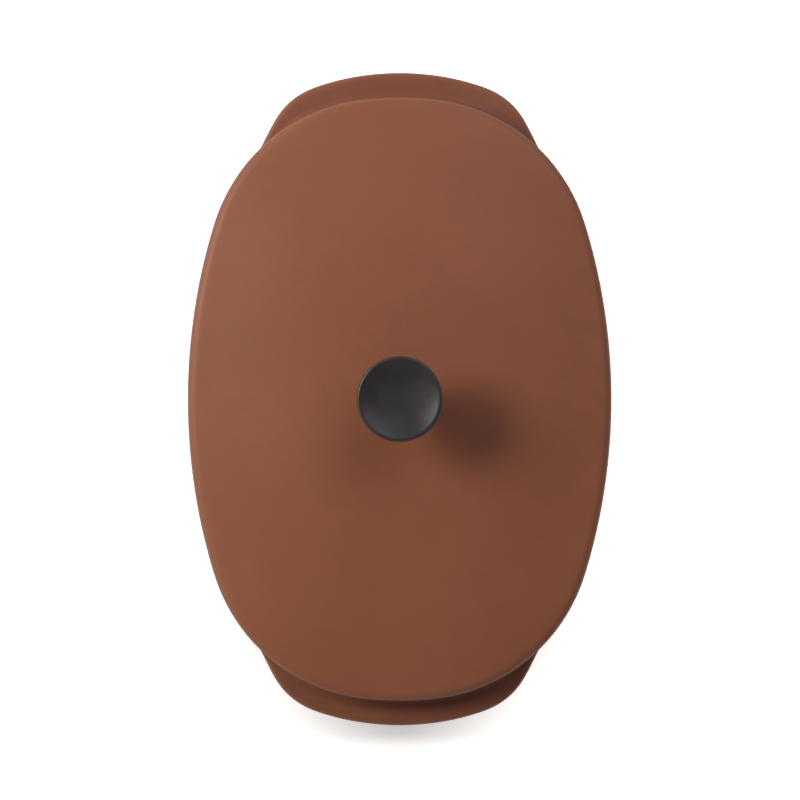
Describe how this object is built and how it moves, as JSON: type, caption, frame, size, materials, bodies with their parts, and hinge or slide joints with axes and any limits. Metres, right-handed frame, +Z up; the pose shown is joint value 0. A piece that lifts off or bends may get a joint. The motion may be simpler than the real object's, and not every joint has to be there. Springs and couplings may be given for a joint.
{
  "type": "oval casserole dish with lid",
  "caption": "Oval glazed stoneware casserole dish with lug handles and a loose domed lid that is lifted by a hollow-topped dark knob.",
  "frame": {"origin": "centre of the foot ring, on the surface that the dish stands on", "axes": "+Z up through the knob, +Y along the oval's long axis towards one lug handle, +X across the dish"},
  "size_m": [0.2336, 0.363, 0.133],
  "materials": {
    "glaze": "satin",
    "knob_plastic": "satin",
    "insert_brass": "machined",
    "gasket_rubber": "matte",
    "stainless_steel": "machined"
  },
  "bodies": {
    "dish": {"dish": "glaze"},
    "lid": {"lid": "glaze", "knob": "knob_plastic", "knob_insert": "insert_brass", "knob_seat_gasket": "gasket_rubber", "knob_lower_gasket": "gasket_rubber", "knob_washer": "stainless_steel", "knob_screw": "stainless_steel"}
  },
  "joints": [
    {"name": "lid_lift", "type": "slide", "parent": "dish", "child": "lid", "axis": [0, 0, 1], "range_m": [0, 0.15]}
  ]
}
